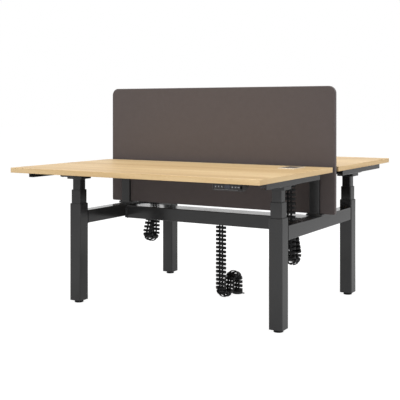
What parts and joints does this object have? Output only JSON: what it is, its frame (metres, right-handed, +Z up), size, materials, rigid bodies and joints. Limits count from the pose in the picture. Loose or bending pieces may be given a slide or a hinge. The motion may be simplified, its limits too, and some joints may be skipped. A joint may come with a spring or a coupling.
{
  "type": "height-adjustable bench desk",
  "caption": "Back-to-back sit-stand bench: two oak tops on telescopic columns, shared beam, fabric screen, cable ports with hinged lids and folding cable spines.",
  "frame": {"origin": "on the floor, at the centre of the four feet", "axes": "+X along the desks, -Y towards the front user, +Z up"},
  "size_m": [1.4, 1.678, 1.15],
  "materials": {
    "charcoal_paint": "fine-textured satin powder coat, charcoal",
    "oak": "light oak with a satin lacquer, grain along the desk",
    "screen_felt": "taupe felt, matt",
    "black_plastic": "moulded, fine matt grain",
    "spine_plastic": "moulded, satin",
    "foot_plastic": "moulded, matt",
    "spindle_steel": "rolled thread, greased",
    "aluminium": "brushed and anodised, natural",
    "handset_plastic": "black, half gloss",
    "key_plastic": "soft-touch, printed with plain marks"
  },
  "bodies": {
    "frame": {"crossbar_left": "charcoal_paint", "crossbar_right": "charcoal_paint", "central_beam": "charcoal_paint", "screen_panel": "screen_felt", "floor_spine": "spine_plastic", "floor_spine_base": "foot_plastic", "outer_column_front_left": "charcoal_paint", "outer_column_front_right": "charcoal_paint", "outer_column_rear_left": "charcoal_paint", "outer_column_rear_right": "charcoal_paint"},
    "foot_front_left": {"foot_front_left": "foot_plastic"},
    "foot_front_right": {"foot_front_right": "foot_plastic"},
    "foot_rear_left": {"foot_rear_left": "foot_plastic"},
    "foot_rear_right": {"foot_rear_right": "foot_plastic"},
    "front_desk": {"desktop_front": "oak", "crossrail_front": "charcoal_paint", "control_box_front": "black_plastic", "flap_frame_front": "aluminium", "handset_front": "handset_plastic", "desk_spine_front": "spine_plastic", "inner_column_front_left": "charcoal_paint", "drive_front_left": "charcoal_paint", "side_bracket_front_left": "charcoal_paint", "inner_column_front_right": "charcoal_paint", "drive_front_right": "charcoal_paint", "side_bracket_front_right": "charcoal_paint"},
    "front_middle": {"middle_column_front_left": "charcoal_paint", "middle_column_front_right": "charcoal_paint"},
    "spindle_front_left": {"spindle_front_left": "spindle_steel"},
    "spindle_front_right": {"spindle_front_right": "spindle_steel"},
    "key_front_1": {"key_front_1": "key_plastic"},
    "key_front_2": {"key_front_2": "key_plastic"},
    "key_front_3": {"key_front_3": "key_plastic"},
    "key_front_4": {"key_front_4": "key_plastic"},
    "key_front_5": {"key_front_5": "key_plastic"},
    "key_front_6": {"key_front_6": "key_plastic"},
    "flap_lid_front": {"flap_lid_front": "aluminium"},
    "rear_desk": {"desktop_rear": "oak", "crossrail_rear": "charcoal_paint", "control_box_rear": "black_plastic", "flap_frame_rear": "aluminium", "handset_rear": "handset_plastic", "desk_spine_rear": "spine_plastic", "inner_column_rear_left": "charcoal_paint", "drive_rear_left": "charcoal_paint", "side_bracket_rear_left": "charcoal_paint", "inner_column_rear_right": "charcoal_paint", "drive_rear_right": "charcoal_paint", "side_bracket_rear_right": "charcoal_paint"},
    "rear_middle": {"middle_column_rear_left": "charcoal_paint", "middle_column_rear_right": "charcoal_paint"},
    "spindle_rear_left": {"spindle_rear_left": "spindle_steel"},
    "spindle_rear_right": {"spindle_rear_right": "spindle_steel"},
    "key_rear_1": {"key_rear_1": "key_plastic"},
    "key_rear_2": {"key_rear_2": "key_plastic"},
    "key_rear_3": {"key_rear_3": "key_plastic"},
    "key_rear_4": {"key_rear_4": "key_plastic"},
    "key_rear_5": {"key_rear_5": "key_plastic"},
    "key_rear_6": {"key_rear_6": "key_plastic"},
    "flap_lid_rear": {"flap_lid_rear": "aluminium"}
  },
  "joints": [
    {"name": "foot_front_left_turn", "type": "hinge", "parent": "frame", "child": "foot_front_left", "pos_m": [-0.593, -0.44, 0], "axis": [0, 0, 1], "continuous": true},
    {"name": "foot_front_right_turn", "type": "hinge", "parent": "frame", "child": "foot_front_right", "pos_m": [0.593, -0.44, 0], "axis": [0, 0, 1], "continuous": true},
    {"name": "foot_rear_left_turn", "type": "hinge", "parent": "frame", "child": "foot_rear_left", "pos_m": [-0.593, 0.44, 0], "axis": [0, 0, 1], "continuous": true},
    {"name": "foot_rear_right_turn", "type": "hinge", "parent": "frame", "child": "foot_rear_right", "pos_m": [0.593, 0.44, 0], "axis": [0, 0, 1], "continuous": true},
    {"name": "front_lift", "type": "slide", "parent": "frame", "child": "front_desk", "axis": [0, 0, 1], "range_m": [-0.11, 0.54]},
    {"name": "front_middle_lift", "type": "slide", "parent": "frame", "child": "front_middle", "axis": [0, 0, 1], "range_m": [-0.055, 0.27]},
    {"name": "spindle_front_left_turn", "type": "hinge", "parent": "front_desk", "child": "spindle_front_left", "pos_m": [-0.593, -0.44, 0.66], "axis": [0, 0, 1], "continuous": true},
    {"name": "spindle_front_right_turn", "type": "hinge", "parent": "front_desk", "child": "spindle_front_right", "pos_m": [0.593, -0.44, 0.66], "axis": [0, 0, 1], "continuous": true},
    {"name": "key_front_1_push", "type": "slide", "parent": "front_desk", "child": "key_front_1", "axis": [0, 1, 0], "range_m": [0, 0.0008], "stiffness_N_per_m": 500},
    {"name": "key_front_2_push", "type": "slide", "parent": "front_desk", "child": "key_front_2", "axis": [0, 1, 0], "range_m": [0, 0.0008], "stiffness_N_per_m": 500},
    {"name": "key_front_3_push", "type": "slide", "parent": "front_desk", "child": "key_front_3", "axis": [0, 1, 0], "range_m": [0, 0.0008], "stiffness_N_per_m": 500},
    {"name": "key_front_4_push", "type": "slide", "parent": "front_desk", "child": "key_front_4", "axis": [0, 1, 0], "range_m": [0, 0.0008], "stiffness_N_per_m": 500},
    {"name": "key_front_5_push", "type": "slide", "parent": "front_desk", "child": "key_front_5", "axis": [0, 1, 0], "range_m": [0, 0.0008], "stiffness_N_per_m": 500},
    {"name": "key_front_6_push", "type": "slide", "parent": "front_desk", "child": "key_front_6", "axis": [0, 1, 0], "range_m": [0, 0.0008], "stiffness_N_per_m": 500},
    {"name": "flap_lid_front_hinge", "type": "hinge", "parent": "front_desk", "child": "flap_lid_front", "pos_m": [0.532, -0.1005, 0.743], "axis": [-1, 0, 0], "range_deg": [0, 100]},
    {"name": "rear_lift", "type": "slide", "parent": "frame", "child": "rear_desk", "axis": [0, 0, 1], "range_m": [-0.11, 0.54]},
    {"name": "rear_middle_lift", "type": "slide", "parent": "frame", "child": "rear_middle", "axis": [0, 0, 1], "range_m": [-0.055, 0.27]},
    {"name": "spindle_rear_left_turn", "type": "hinge", "parent": "rear_desk", "child": "spindle_rear_left", "pos_m": [-0.593, 0.44, 0.66], "axis": [0, 0, 1], "continuous": true},
    {"name": "spindle_rear_right_turn", "type": "hinge", "parent": "rear_desk", "child": "spindle_rear_right", "pos_m": [0.593, 0.44, 0.66], "axis": [0, 0, 1], "continuous": true},
    {"name": "key_rear_1_push", "type": "slide", "parent": "rear_desk", "child": "key_rear_1", "axis": [0, -1, 0], "range_m": [0, 0.0008], "stiffness_N_per_m": 500},
    {"name": "key_rear_2_push", "type": "slide", "parent": "rear_desk", "child": "key_rear_2", "axis": [0, -1, 0], "range_m": [0, 0.0008], "stiffness_N_per_m": 500},
    {"name": "key_rear_3_push", "type": "slide", "parent": "rear_desk", "child": "key_rear_3", "axis": [0, -1, 0], "range_m": [0, 0.0008], "stiffness_N_per_m": 500},
    {"name": "key_rear_4_push", "type": "slide", "parent": "rear_desk", "child": "key_rear_4", "axis": [0, -1, 0], "range_m": [0, 0.0008], "stiffness_N_per_m": 500},
    {"name": "key_rear_5_push", "type": "slide", "parent": "rear_desk", "child": "key_rear_5", "axis": [0, -1, 0], "range_m": [0, 0.0008], "stiffness_N_per_m": 500},
    {"name": "key_rear_6_push", "type": "slide", "parent": "rear_desk", "child": "key_rear_6", "axis": [0, -1, 0], "range_m": [0, 0.0008], "stiffness_N_per_m": 500},
    {"name": "flap_lid_rear_hinge", "type": "hinge", "parent": "rear_desk", "child": "flap_lid_rear", "pos_m": [-0.532, 0.1005, 0.743], "axis": [1, 0, 0], "range_deg": [0, 100]}
  ],
  "couplings": [
    {"joint": "front_middle_lift", "follows": "front_lift", "ratio": 0.5},
    {"joint": "spindle_front_left_turn", "follows": "front_lift", "rad_per_m": 523.6},
    {"joint": "spindle_front_right_turn", "follows": "front_lift", "rad_per_m": 523.6},
    {"joint": "rear_middle_lift", "follows": "rear_lift", "ratio": 0.5},
    {"joint": "spindle_rear_left_turn", "follows": "rear_lift", "rad_per_m": 523.6},
    {"joint": "spindle_rear_right_turn", "follows": "rear_lift", "rad_per_m": 523.6}
  ]
}
